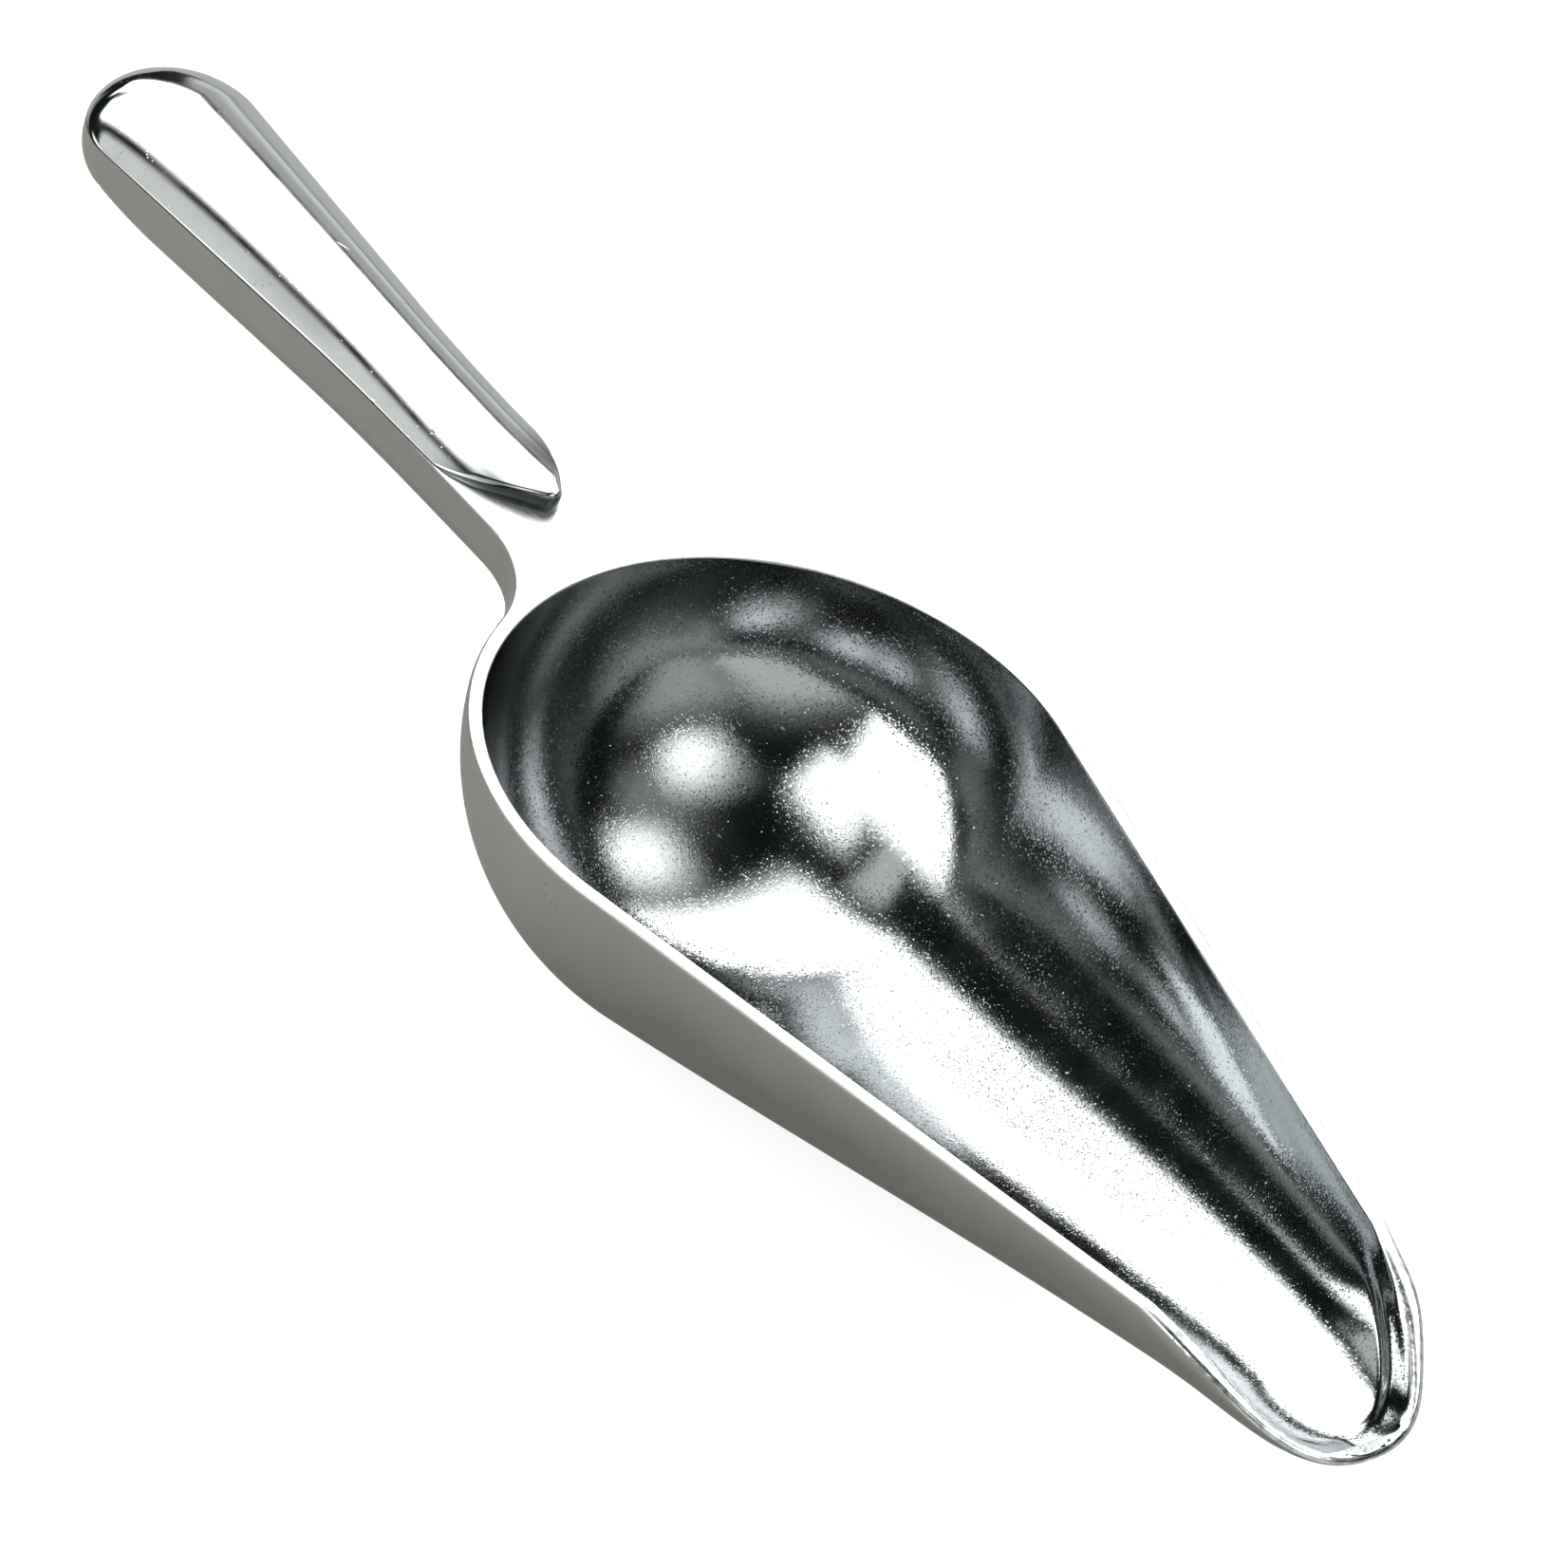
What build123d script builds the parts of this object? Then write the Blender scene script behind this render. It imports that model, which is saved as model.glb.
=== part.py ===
from build123d import *
import os
from math import atan, cos, degrees, radians, sin, sqrt, tan

# Cast aluminium ice scoop, all sizes in millimetres.
# Origin: on the long axis, on the flat ground top, where the neck meets the bowl's rear rim.
# +X runs along the scoop to its nose, +Z points out of the bowl's mouth.

# Bowl: a half ellipsoid at the rear that runs on as a tapering elliptical trough
bowl_centre_x = 40.0        # axis of the round rear end
bowl_radius = 41.1          # outside of the round rear end, seen from above
bowl_depth = 36.8           # rim plane to the lowest point of the outside
side_taper = 12.4           # degrees between each side of the bowl and the long axis
wall = 2.1
trough_length = 136.5       # bowl centre to where the nose would close, beyond the lip
nose_round_start = 112.0    # bowl centre to where the keel starts to round up at the nose
side_stations = (30.0, 55.0, 80.0)  # sections of the trough, ahead of the bowl centre
nose_stations = (122.0, 130.0)
keel_end_depth = 11.6       # depth that the keel curve reaches at trough_length, before rounding
keel_end_slope = -0.05      # change in that depth per mm there: the keel still rises gently

# Lip: the rim dips forward of lip_start_x along a shallow arc
lip_start_x = 140.0
lip_middle = (157.0, -4.6)  # x and z of a point halfway along the arc
lip_end = (169.5, -9.0)     # x and z where the arc leaves the nose
rim_outer_radius = 0.8
rim_inner_radius = 0.4

# Handle: plan outline, shared by the base below the rim plane and the crown above it
handle_end_x = -100.3
butt_length = 9.9           # the blunt free end is half an ellipse, this long
grip_half_width = 12.2      # handle at its widest, where that ellipse begins
grip_taper = 4.4            # degrees, each side
taper_end_x = -50.0
neck_half_width = 8.3       # narrowest part, just behind the bowl
flare_radius = 17.5         # neck into rim, seen from above
split_x = -10.0             # where the handle base meets the neck root, just ahead of the crown
bowl_overlap = 8.4          # how far the handle outline runs on inside the bowl's outline

base_depth = 7.8
base_edge_radius = 3.4

crown_height = 4.0          # at the free end
crown_shoulder_height = 3.1
crown_foot_height = 3.0
crown_shoulder_x = -31.5    # the crown is as wide as the handle behind this
crown_shoulder_half_width = 8.8
crown_foot_x = -10.8        # rounded front point of the crown
crown_foot_radius = 1.8
crown_foot_turn = 50.0      # degrees of that rounding on each side
crown_shoulder_slope = -0.03  # the crown's edge draws in gently from the shoulder
crown_foot_pull = 1.6       # how strongly that edge lines up with the foot's rounding
crown_foot_edge = 1.0
parting_step = 0.3          # the crown's arc would meet the rim plane this far outside the handle

# Worked out from the dimensions above
flare_x = bowl_centre_x - sqrt(
    (bowl_radius + flare_radius) ** 2 - (neck_half_width + flare_radius) ** 2
)
flare_share = bowl_radius / (bowl_radius + flare_radius)
flare_end = (
    bowl_centre_x + (flare_x - bowl_centre_x) * flare_share,
    (neck_half_width + flare_radius) * flare_share,
)
grip_centre_x = handle_end_x + butt_length
grip_turn = 90 - degrees(atan(butt_length / grip_half_width * tan(radians(grip_taper))))
grip_start = (
    grip_centre_x + butt_length * cos(radians(grip_turn)),
    grip_half_width * sin(radians(grip_turn)),
)
taper_end_width = grip_start[1] - (taper_end_x - grip_start[0]) * tan(radians(grip_taper))
section_width = 4 * bowl_radius
touching = 0.01             # edges nearer than this to the cavity lie on it


def half_width(ahead, inset):
    """Half width of the bowl in the rim plane: a circle, then the line tangent to it."""
    radius = bowl_radius - inset
    if ahead < radius * sin(radians(side_taper)):
        return sqrt(radius**2 - ahead**2)
    return radius / cos(radians(side_taper)) - ahead * tan(radians(side_taper))


def keel_depth(ahead, inset):
    """Depth below the rim plane: an ellipse, then a Hermite curve that rounds up at the nose."""
    radius = bowl_radius - inset
    depth = bowl_depth - inset
    start = radius * sin(radians(side_taper))
    if ahead < start:
        return depth * sqrt(1 - (ahead / radius) ** 2)
    length = trough_length - inset - start
    t = (ahead - start) / length
    curve = (
        (1 + 2 * t) * (1 - t) ** 2 * depth * cos(radians(side_taper))
        - t * (1 - t) ** 2 * length * depth / radius * tan(radians(side_taper))
        + t**2 * (3 - 2 * t) * (keel_end_depth - inset)
        + t**2 * (t - 1) * length * keel_end_slope
    )
    rounding = max(0, ahead - nose_round_start) / (trough_length - inset - nose_round_start)
    return curve * sqrt(1 - rounding**2)


def bowl_form(inset):
    """The bowl as a solid lump, its outside moved in by inset."""
    tangent = (bowl_radius - inset) * sin(radians(side_taper))
    with BuildPart() as form:
        with BuildSketch(Plane.YZ.offset(bowl_centre_x)):
            Ellipse(bowl_radius - inset, bowl_depth - inset)
            Rectangle(section_width, section_width, align=(Align.MIN, Align.MAX), mode=Mode.INTERSECT)
        revolve(axis=Axis((bowl_centre_x, 0, 0), (0, 0, 1)), revolution_arc=180)
        for ahead in (0, tangent / 2, tangent, *side_stations, nose_round_start, *nose_stations):
            with BuildSketch(Plane.YZ.offset(bowl_centre_x + ahead)):
                Ellipse(half_width(ahead, inset), keel_depth(ahead, inset))
                Rectangle(
                    section_width, section_width, align=(Align.CENTER, Align.MAX), mode=Mode.INTERSECT
                )
        loft()
    return form.part


def handle_outline():
    """The handle seen from above: blunt free end, tapered grip, neck flared into the rim."""
    with BuildSketch() as outline:
        with BuildLine():
            butt = EllipticalCenterArc(
                (grip_centre_x, 0), butt_length, grip_half_width, grip_turn, arc_size=180 - grip_turn
            )
            Line(butt @ 0, (taper_end_x, taper_end_width))
            Spline(
                (taper_end_x, taper_end_width),
                (flare_x, neck_half_width),
                tangents=((1, -tan(radians(grip_taper))), (1, 0)),
            )
            RadiusArc((flare_x, neck_half_width), flare_end, -flare_radius)
            inside_x = flare_end[0] + bowl_overlap
            Polyline(flare_end, (inside_x, flare_end[1]), (inside_x, 0))
            mirror(about=Plane.XZ)
        make_face()
    return outline.sketch


def crown_arc(half_span, height):
    """Draw the crown's cross-section: a flat segment of a circle standing on the rim plane."""
    with BuildSketch(Plane.YZ) as segment:
        with BuildLine():
            arc = ThreePointArc((-half_span, 0), (0, height), (half_span, 0))
            Line(arc @ 0, arc @ 1)
        make_face()
    return segment.sketch_local


outer_form = bowl_form(0)
cavity = bowl_form(wall)

# The handle below the rim plane, its lower edges rounded
with BuildPart() as base_form:
    with BuildSketch():
        add(handle_outline())
    extrude(amount=-base_depth)
    lower_edges = base_form.edges().group_by(Axis.Z)[0]
    fillet(lower_edges.filter_by(lambda edge: edge.center().X < flare_end[0]), base_edge_radius)

# Bowl, with the root of the neck behind it
with BuildPart() as bowl:
    add(outer_form)
    with BuildSketch(Plane.XZ):
        with BuildLine():
            ThreePointArc((lip_start_x, 0), lip_middle, lip_end)
            Polyline(
                lip_end,
                (2 * lip_end[0], lip_end[1]),
                (2 * lip_end[0], bowl_depth),
                (lip_start_x, bowl_depth),
                (lip_start_x, 0),
            )
        make_face()
    extrude(amount=2 * bowl_radius, both=True, mode=Mode.SUBTRACT)
    rim_face = bowl.faces().filter_by(Axis.Z).sort_by(Axis.Z)[-1]
    lip_face = bowl.faces().filter_by(GeomType.CYLINDER).sort_by(Axis.X)[-1]
    rim_edges = rim_face.edges() + lip_face.edges()
    fillet(rim_edges.filter_by(GeomType.LINE, reverse=True), rim_outer_radius)
    add(base_form.part)
    split(bisect_by=Plane.YZ.offset(split_x), keep=Keep.TOP)
    add(cavity, mode=Mode.SUBTRACT)
    rim_face = bowl.faces().filter_by(Axis.Z).sort_by(Axis.Z)[-1]
    lip_face = bowl.faces().filter_by(GeomType.CYLINDER).sort_by(Axis.X)[-1]
    rim_edges = rim_face.edges() + lip_face.edges()
    inner_edges = rim_edges.filter_by(lambda edge: cavity.distance_to(edge @ 0.5) < touching)
    fillet(inner_edges, rim_inner_radius)
bowl.part.label = "bowl"

# Handle base: neck and grip below the rim plane
with BuildPart() as handle_base:
    add(base_form.part)
    split(bisect_by=Plane.YZ.offset(split_x), keep=Keep.BOTTOM)
handle_base.part.label = "handle_base"

# Handle crown: the raised polished top of the grip, tapering to a foot on the neck
with BuildPart() as handle_crown:
    with BuildSketch(Plane.YZ.offset(grip_centre_x)):
        add(crown_arc(grip_half_width + parting_step, crown_height))
        Rectangle(section_width, section_width, align=(Align.MIN, Align.CENTER), mode=Mode.INTERSECT)
    revolve(axis=Axis((grip_centre_x, 0, 0), (0, 0, 1)), revolution_arc=180)
    for x, width, height in (
        (grip_centre_x, grip_half_width, crown_height),
        (taper_end_x, taper_end_width, (crown_height + crown_shoulder_height) / 2),
        (crown_shoulder_x, neck_half_width, crown_shoulder_height),
        (crown_foot_x, neck_half_width, crown_foot_height),
    ):
        with BuildSketch(Plane.YZ.offset(x)):
            add(crown_arc(width + parting_step, height))
    loft()
    with BuildSketch():
        with BuildLine():
            foot = CenterArc((crown_foot_x - crown_foot_radius, 0), crown_foot_radius, 0, crown_foot_turn)
            foot_tangent = (sin(radians(crown_foot_turn)), -cos(radians(crown_foot_turn)))
            side = Spline(
                (crown_shoulder_x, crown_shoulder_half_width),
                foot @ 1,
                tangents=((1, crown_shoulder_slope), foot_tangent),
                tangent_scalars=(1.0, crown_foot_pull),
            )
            Polyline(side @ 0, (2 * handle_end_x, 2 * grip_half_width), (2 * handle_end_x, 0))
            mirror(about=Plane.XZ)
        make_face()
        add(handle_outline(), mode=Mode.INTERSECT)
    extrude(amount=2 * crown_height, mode=Mode.INTERSECT)
    foot_edges = handle_crown.edges().filter_by(
        lambda edge: edge.center().X > crown_shoulder_x and edge.center().Z > crown_foot_height / 2
    )
    fillet(foot_edges.filter_by(GeomType.LINE, reverse=True), crown_foot_edge)
handle_crown.part.label = "handle_crown"

os.makedirs("parts", exist_ok=True)
export_step(bowl.part, "parts/bowl.step")
export_step(handle_base.part, "parts/handle_base.step")
export_step(handle_crown.part, "parts/handle_crown.step")
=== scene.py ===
import math

import bpy
import numpy as np
from mathutils import Matrix, Vector


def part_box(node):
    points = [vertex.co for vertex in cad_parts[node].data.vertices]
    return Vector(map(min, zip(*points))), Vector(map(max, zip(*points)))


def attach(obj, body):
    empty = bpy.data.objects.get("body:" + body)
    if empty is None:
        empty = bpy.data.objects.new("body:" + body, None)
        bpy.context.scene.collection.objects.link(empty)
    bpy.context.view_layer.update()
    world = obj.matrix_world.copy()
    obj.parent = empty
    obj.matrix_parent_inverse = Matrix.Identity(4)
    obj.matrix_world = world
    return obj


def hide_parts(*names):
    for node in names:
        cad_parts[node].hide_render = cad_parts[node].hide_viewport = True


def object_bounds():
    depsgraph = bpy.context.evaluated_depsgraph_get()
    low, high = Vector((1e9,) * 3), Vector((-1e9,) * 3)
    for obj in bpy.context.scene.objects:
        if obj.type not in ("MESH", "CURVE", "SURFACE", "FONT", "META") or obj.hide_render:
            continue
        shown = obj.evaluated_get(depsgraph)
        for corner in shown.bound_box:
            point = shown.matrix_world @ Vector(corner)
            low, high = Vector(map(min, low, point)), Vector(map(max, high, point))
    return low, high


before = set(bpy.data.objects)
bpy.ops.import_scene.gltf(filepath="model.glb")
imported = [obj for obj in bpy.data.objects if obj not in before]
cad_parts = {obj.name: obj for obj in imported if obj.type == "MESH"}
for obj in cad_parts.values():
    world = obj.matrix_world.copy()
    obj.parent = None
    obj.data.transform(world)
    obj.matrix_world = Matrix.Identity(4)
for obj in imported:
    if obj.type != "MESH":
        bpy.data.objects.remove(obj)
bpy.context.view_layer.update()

# ---------------------------------------------------------------- dimensions
# Lengths are in millimetres in the row frame, and go to metres when a mesh is made.
MM = 0.001
bowl_low, bowl_high = (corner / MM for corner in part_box("bowl"))
base_low, base_high = (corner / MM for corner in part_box("handle_base"))
crown_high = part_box("handle_crown")[1] / MM

BOWL_X = 40.0  # centre of the round rear end
BOWL_RADIUS = bowl_high.y
BOWL_DEPTH = -bowl_low.z
WALL = 2.1
SIDE_TAPER = math.radians(12.4)
TROUGH = 136.5  # bowl centre to where the nose would close
NOSE_ROUND = 112.0
KEEL_END = 11.6
KEEL_END_SLOPE = -0.05
LIP_START = (140.0, 0.0)
LIP_MIDDLE = (157.0, -4.6)
LIP_END = (169.5, -9.0)
LIP_HUB = 147.0  # the nose is meshed as a fan about this point on the axis
LIP_FRONT = 165.4  # the inner edge of the lip is ground straight across here

# The lip's wall is thicker along its sides and thinner under its front
LIP_THICKER = 1.0
LIP_THICK_START = LIP_START[0] - 3.0
LIP_THICK_DEPTH = 2.5  # down to here, and fading out by twice this
LIP_THICK_SIDE = 11.0  # in full from this far off the axis
LIP_THINNER = 1.0
LIP_THIN_START = 148.0
LIP_CHANGE = 14.0  # both changes of the wall come in over this length

# The nose was finished by hand: a little low, short, and fuller on the +Y side
NOSE_DROOP = 1.7
NOSE_SHORT = 0.9
NOSE_FULLER = 1.6
NOSE_FULLEST_X = 151.0
NOSE_FULLER_LENGTH = 7.0
NOSE_FULLER_START = 130.0
NOSE_FULLER_SIDE = 15.0  # in full from this far off the axis
NOSE_FULLER_DEPTH = 20.0  # gone this far down

BUTT_X = base_low.x
BUTT_LENGTH = 9.9  # the blunt free end is half an ellipse
GRIP_HALF = base_high.y
GRIP_X = BUTT_X + BUTT_LENGTH
GRIP_TAPER = math.radians(4.4)
TAPER_END = -50.0
NECK = 8.3
FLARE_RADIUS = 17.5
SPLIT_X = base_high.x
BASE_DEPTH = -base_low.z
BASE_EDGE = 3.4
BUTT_RISE = 4.2  # the underside rises towards the butt
BUTT_RISE_LENGTH = 22.0
NECK_BLEND = 7.0  # soft fillet between the neck and the back of the bowl

CROWN_HEIGHT = crown_high.z
CROWN_FOOT = crown_high.x
CROWN_SHOULDER = -31.5
CROWN_SHOULDER_WIDTH = 8.8
CROWN_SHOULDER_HEIGHT = 3.1
CROWN_FOOT_HEIGHT = 3.0
CROWN_FOOT_RADIUS = 1.9
CROWN_FOOT_TURN = math.radians(50.0)  # of that rounding, on each side
CROWN_SHOULDER_SLOPE = -0.03  # the crown's edge draws in gently from the shoulder
CROWN_FOOT_PULL = 1.6  # how strongly that edge lines up with the foot's rounding
CROWN_FOOT_SWAY = 1.1  # the foot lies a little towards +Y
CROWN_EDGE = 1.0  # the rounding of the crown's edge
CROWN_EDGE_SHARE = 0.75  # which takes up at most this share of the edge's height
BUTT_EDGE = 0.3  # the edge's rounding is this much more at the butt
BUTT_ROLL = 1.5  # where the crown also rolls over, this far in
PARTING_STEP = 0.3  # the crown's arc would meet the rim plane this far outside the handle

# How far each edge's rounding reaches across the top and down the wall, as pairs of x and reach
OUTER_ON_TOP = (
    (-36.0, 0.06), (-22.0, 0.35), (10.0, 0.7), (LIP_START[0], 0.8), (155.0, 1.4), (LIP_END[0], 1.7),
)
OUTER_DOWN = (
    (-36.0, 0.06), (-22.0, 0.35), (10.0, 0.8), (LIP_START[0], 1.0), (155.0, 3.0), (LIP_END[0], 3.8),
)
INNER_ON_TOP = ((0.0, 0.4), (LIP_START[0], 0.45), (152.0, 0.9), (LIP_END[0], 0.5))
INNER_DOWN = ((0.0, 0.4), (LIP_START[0], 0.5), (152.0, 1.5), (LIP_END[0], 0.6))
EDGE_WANDER = 0.12  # share of that reach by which it wanders

# Columns of the casting's mesh along each stretch of its outline, and rows of each surface
BUTT_COLUMNS, GRIP_COLUMNS, NECK_COLUMNS, SPLIT_COLUMNS, FLARE_COLUMNS = 26, 40, 34, 5, 34
ROOT_COLUMNS, REAR_COLUMNS, SIDE_COLUMNS, NOSE_COLUMNS = 10, 50, 96, 40
TOP_ROWS, EDGE_ROWS, OUTSIDE_ROWS, INSIDE_ROWS = 7, 5, 44, 52
PATH_POINTS = 400  # each column is first traced with this many points
HALVINGS = 50  # steps of the search for a surface

# The same for the crown
CROWN_BUTT_COLUMNS, CROWN_GRIP_COLUMNS, CROWN_NECK_COLUMNS = 70, 110, 50
CROWN_FOOT_COLUMNS, CROWN_TIP_COLUMNS = 60, 10
CROWN_TOP_ROWS, CROWN_EDGE_ROWS = 34, 12

TANGENT = BOWL_RADIUS * math.sin(SIDE_TAPER)
FLARE_X = BOWL_X - math.sqrt((BOWL_RADIUS + FLARE_RADIUS) ** 2 - (NECK + FLARE_RADIUS) ** 2)
FLARE_TURN = math.asin((BOWL_X - FLARE_X) / (BOWL_RADIUS + FLARE_RADIUS))
GRIP_TURN = math.pi / 2 - math.atan(BUTT_LENGTH / GRIP_HALF * math.tan(GRIP_TAPER))
GRIP_START_X = GRIP_X + BUTT_LENGTH * math.cos(GRIP_TURN)
GRIP_START_Y = GRIP_HALF * math.sin(GRIP_TURN)
TAPER_END_Y = GRIP_START_Y - (TAPER_END - GRIP_START_X) * math.tan(GRIP_TAPER)


# ---------------------------------------------------------------- shape of the casting
# The small bare numbers in maximum and clip only keep roots and divisions finite.
def ease(value, start, run):
    """Rises smoothly from 0 at start to 1 at start + run."""
    t = np.clip((value - start) / run, 0, 1)
    return t**2 * (3 - 2 * t)


def hermite(t, start, leaving, end, arriving):
    """The cubic curve from start to end, with the slopes that it leaves and arrives with."""
    return (
        (1 + 2 * t) * (1 - t) ** 2 * start
        + t * (1 - t) ** 2 * leaving
        + t**2 * (3 - 2 * t) * end
        + t**2 * (t - 1) * arriving
    )


def half_width(ahead, inset):
    """Half width of the bowl at the rim: a circle, then the line tangent to it."""
    radius = BOWL_RADIUS - inset
    circle = np.sqrt(np.maximum(radius**2 - ahead**2, 0.01))
    line = radius / math.cos(SIDE_TAPER) - ahead * math.tan(SIDE_TAPER)
    return np.where(ahead < radius * math.sin(SIDE_TAPER), circle, line)


def keel_depth(ahead, inset):
    """Depth of the bowl on its centre line, with the keel rounding up at the nose."""
    radius = BOWL_RADIUS - inset
    depth = BOWL_DEPTH - inset
    start = radius * math.sin(SIDE_TAPER)
    length = TROUGH - inset - start
    curve = hermite(
        (ahead - start) / length,
        depth * math.cos(SIDE_TAPER),
        -length * depth / radius * math.tan(SIDE_TAPER),
        KEEL_END - inset,
        length * KEEL_END_SLOPE,
    )
    rounding = np.clip((ahead - NOSE_ROUND) / (TROUGH - inset - NOSE_ROUND), 0, 0.999)
    ellipse = depth * np.sqrt(np.maximum(1 - (ahead / radius) ** 2, 0.0004))
    return np.where(ahead < start, ellipse, curve * np.sqrt(1 - rounding**2))


def bowl_field(x, y, z, inset):
    """Below zero inside the bowl's form, above zero outside, roughly in millimetres."""
    ahead = x - BOWL_X
    radius = BOWL_RADIUS - inset
    depth = BOWL_DEPTH - inset
    rear = np.sqrt((ahead**2 + y**2) / radius**2 + (z / depth) ** 2)
    trough = np.sqrt((y / half_width(ahead, inset)) ** 2 + (z / keel_depth(ahead, inset)) ** 2)
    return (np.where(ahead < 0, rear, trough) - 1) * radius


def handle_width(x):
    """Half width of the handle between the round butt and the flare."""
    run = FLARE_X - TAPER_END
    t = np.clip((x - TAPER_END) / run, 0, 1)
    drawn_in = hermite(t, TAPER_END_Y, -run * math.tan(GRIP_TAPER), NECK, 0.0)
    tapered = GRIP_START_Y - (x - GRIP_START_X) * math.tan(GRIP_TAPER)
    return np.where(x < TAPER_END, tapered, drawn_in)


def plan_distance(x, y):
    """Signed distance to the handle's outline seen from above, below zero inside."""
    round_x, round_y = (x - GRIP_X) / BUTT_LENGTH, y / GRIP_HALF
    out = np.hypot(round_x, round_y)
    butt = (out - 1) * out / np.maximum(np.hypot(round_x / BUTT_LENGTH, round_y / GRIP_HALF), 1e-6)
    side = np.abs(y) - handle_width(x)
    flare = FLARE_RADIUS - np.hypot(x - FLARE_X, np.abs(y) - NECK - FLARE_RADIUS)
    ahead = np.abs(y) - (NECK + FLARE_RADIUS) * BOWL_RADIUS / (BOWL_RADIUS + FLARE_RADIUS)
    flare_end = FLARE_X + FLARE_RADIUS * math.sin(FLARE_TURN)
    result = np.where(x < GRIP_START_X, butt, side)
    result = np.where(x > FLARE_X, flare, result)
    return np.where(x > flare_end, ahead, result)


def base_depth(x):
    """Depth of the handle base, less towards the butt."""
    return BASE_DEPTH - BUTT_RISE * np.clip(1 - (x - BUTT_X) / BUTT_RISE_LENGTH, 0, 1) ** 2


def cavity_field(x, y, z, inset):
    """The bowl's inside: at the lip the wall is thicker at the sides and thinner underneath."""
    near_top = ease(z - top_height(x), -2 * LIP_THICK_DEPTH, LIP_THICK_DEPTH)
    off_axis = np.clip(np.abs(y) / LIP_THICK_SIDE, 0, 1)
    thicker = LIP_THICKER * ease(x, LIP_THICK_START, LIP_CHANGE) * near_top * off_axis
    thinner = LIP_THINNER * ease(x, LIP_THIN_START, LIP_CHANGE)
    return bowl_field(x, y, z, inset + thicker - thinner)


def outside_field(x, y, z, inset):
    """The bowl and the handle base in one field, with a soft fillet where they meet."""
    bowl = bowl_field(x, y, z, inset)
    across = plan_distance(x, y) + BASE_EDGE
    down = -z - base_depth(x) + BASE_EDGE
    corner = np.hypot(np.maximum(across, 0), np.maximum(down, 0))
    base = np.minimum(np.maximum(across, down), 0) + corner - BASE_EDGE
    base = np.where(x > BOWL_X, BOWL_RADIUS, base)
    blend = 0.01 + NECK_BLEND * np.clip(-z / BASE_DEPTH, 0, 1)
    near = np.maximum(blend - np.abs(bowl - base), 0) / blend
    return np.minimum(bowl, base) - near**2 * blend / 4


def circle_through(a, b, c):
    """Centre and radius of the circle through three points."""
    matrix = np.array([[b[0] - a[0], b[1] - a[1]], [c[0] - a[0], c[1] - a[1]]]) * 2
    squares = [p[0] ** 2 + p[1] ** 2 - a[0] ** 2 - a[1] ** 2 for p in (b, c)]
    centre = np.linalg.solve(matrix, squares)
    return centre, math.hypot(a[0] - centre[0], a[1] - centre[1])


lip_centre, lip_radius = circle_through(LIP_START, LIP_MIDDLE, LIP_END)


def top_height(x):
    """The flat ground top, dipping along a shallow arc at the lip."""
    arc = lip_centre[1] + np.sqrt(np.maximum(lip_radius**2 - (x - lip_centre[0]) ** 2, 0))
    return np.where(x < LIP_START[0], 0.0, arc)


# ---------------------------------------------------------------- columns round the outline
def span(start, end, count):
    """count values from start towards end, without the end itself."""
    return start + (end - start) * np.arange(count) / count


def how_far(shape, is_inside):
    """How far each of many directions goes before it leaves a form, found by halving."""
    low, high = np.zeros(shape), np.full(shape, 2 * BOWL_RADIUS)
    for _ in range(HALVINGS):
        middle = (low + high) / 2
        inside = is_inside(middle)
        low, high = np.where(inside, middle, low), np.where(inside, high, middle)
    return (low + high) / 2


def crossing(hub, toward_x, toward_y, field, inset):
    """How far from the hub, along a level direction, the top surface leaves the form."""

    def is_inside(reach):
        x = hub + reach * toward_x
        return field(x, reach * toward_y, top_height(x), inset) < 0

    return how_far(hub.shape, is_inside)


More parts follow.
